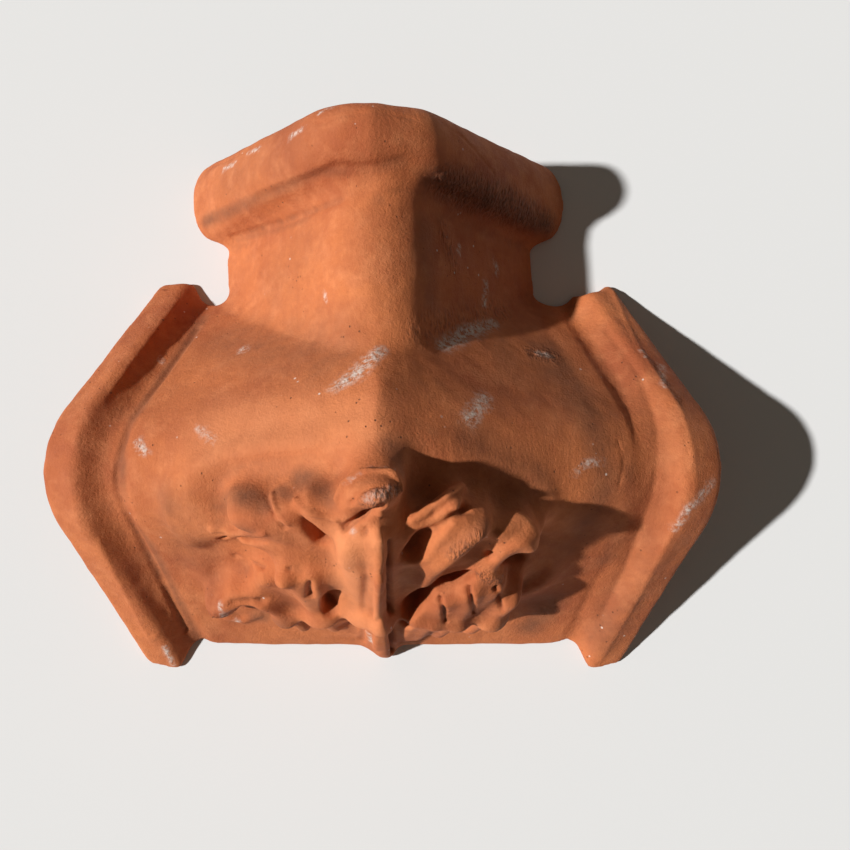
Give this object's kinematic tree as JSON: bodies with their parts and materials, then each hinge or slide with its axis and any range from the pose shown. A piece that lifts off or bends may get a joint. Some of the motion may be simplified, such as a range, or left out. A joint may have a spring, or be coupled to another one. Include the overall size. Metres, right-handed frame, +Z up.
{
  "type": "ridge junction tile",
  "caption": "Hollow clay roof tile that joins a ridge and two sloping arms, with moulded collars and a leaf in high relief.",
  "frame": {"origin": "centre of the bounding box at ground level, where the tile's lower edges rest", "axes": "+X towards the right arm, +Y towards the level back arm, +Z up"},
  "size_m": [0.5056, 0.4488, 0.2458],
  "materials": {
    "terracotta": "unglazed fired clay, weathered, matt, with lime marks and dark pits"
  },
  "bodies": {
    "root": {"ridge_junction_tile": "terracotta"}
  },
  "joints": []
}
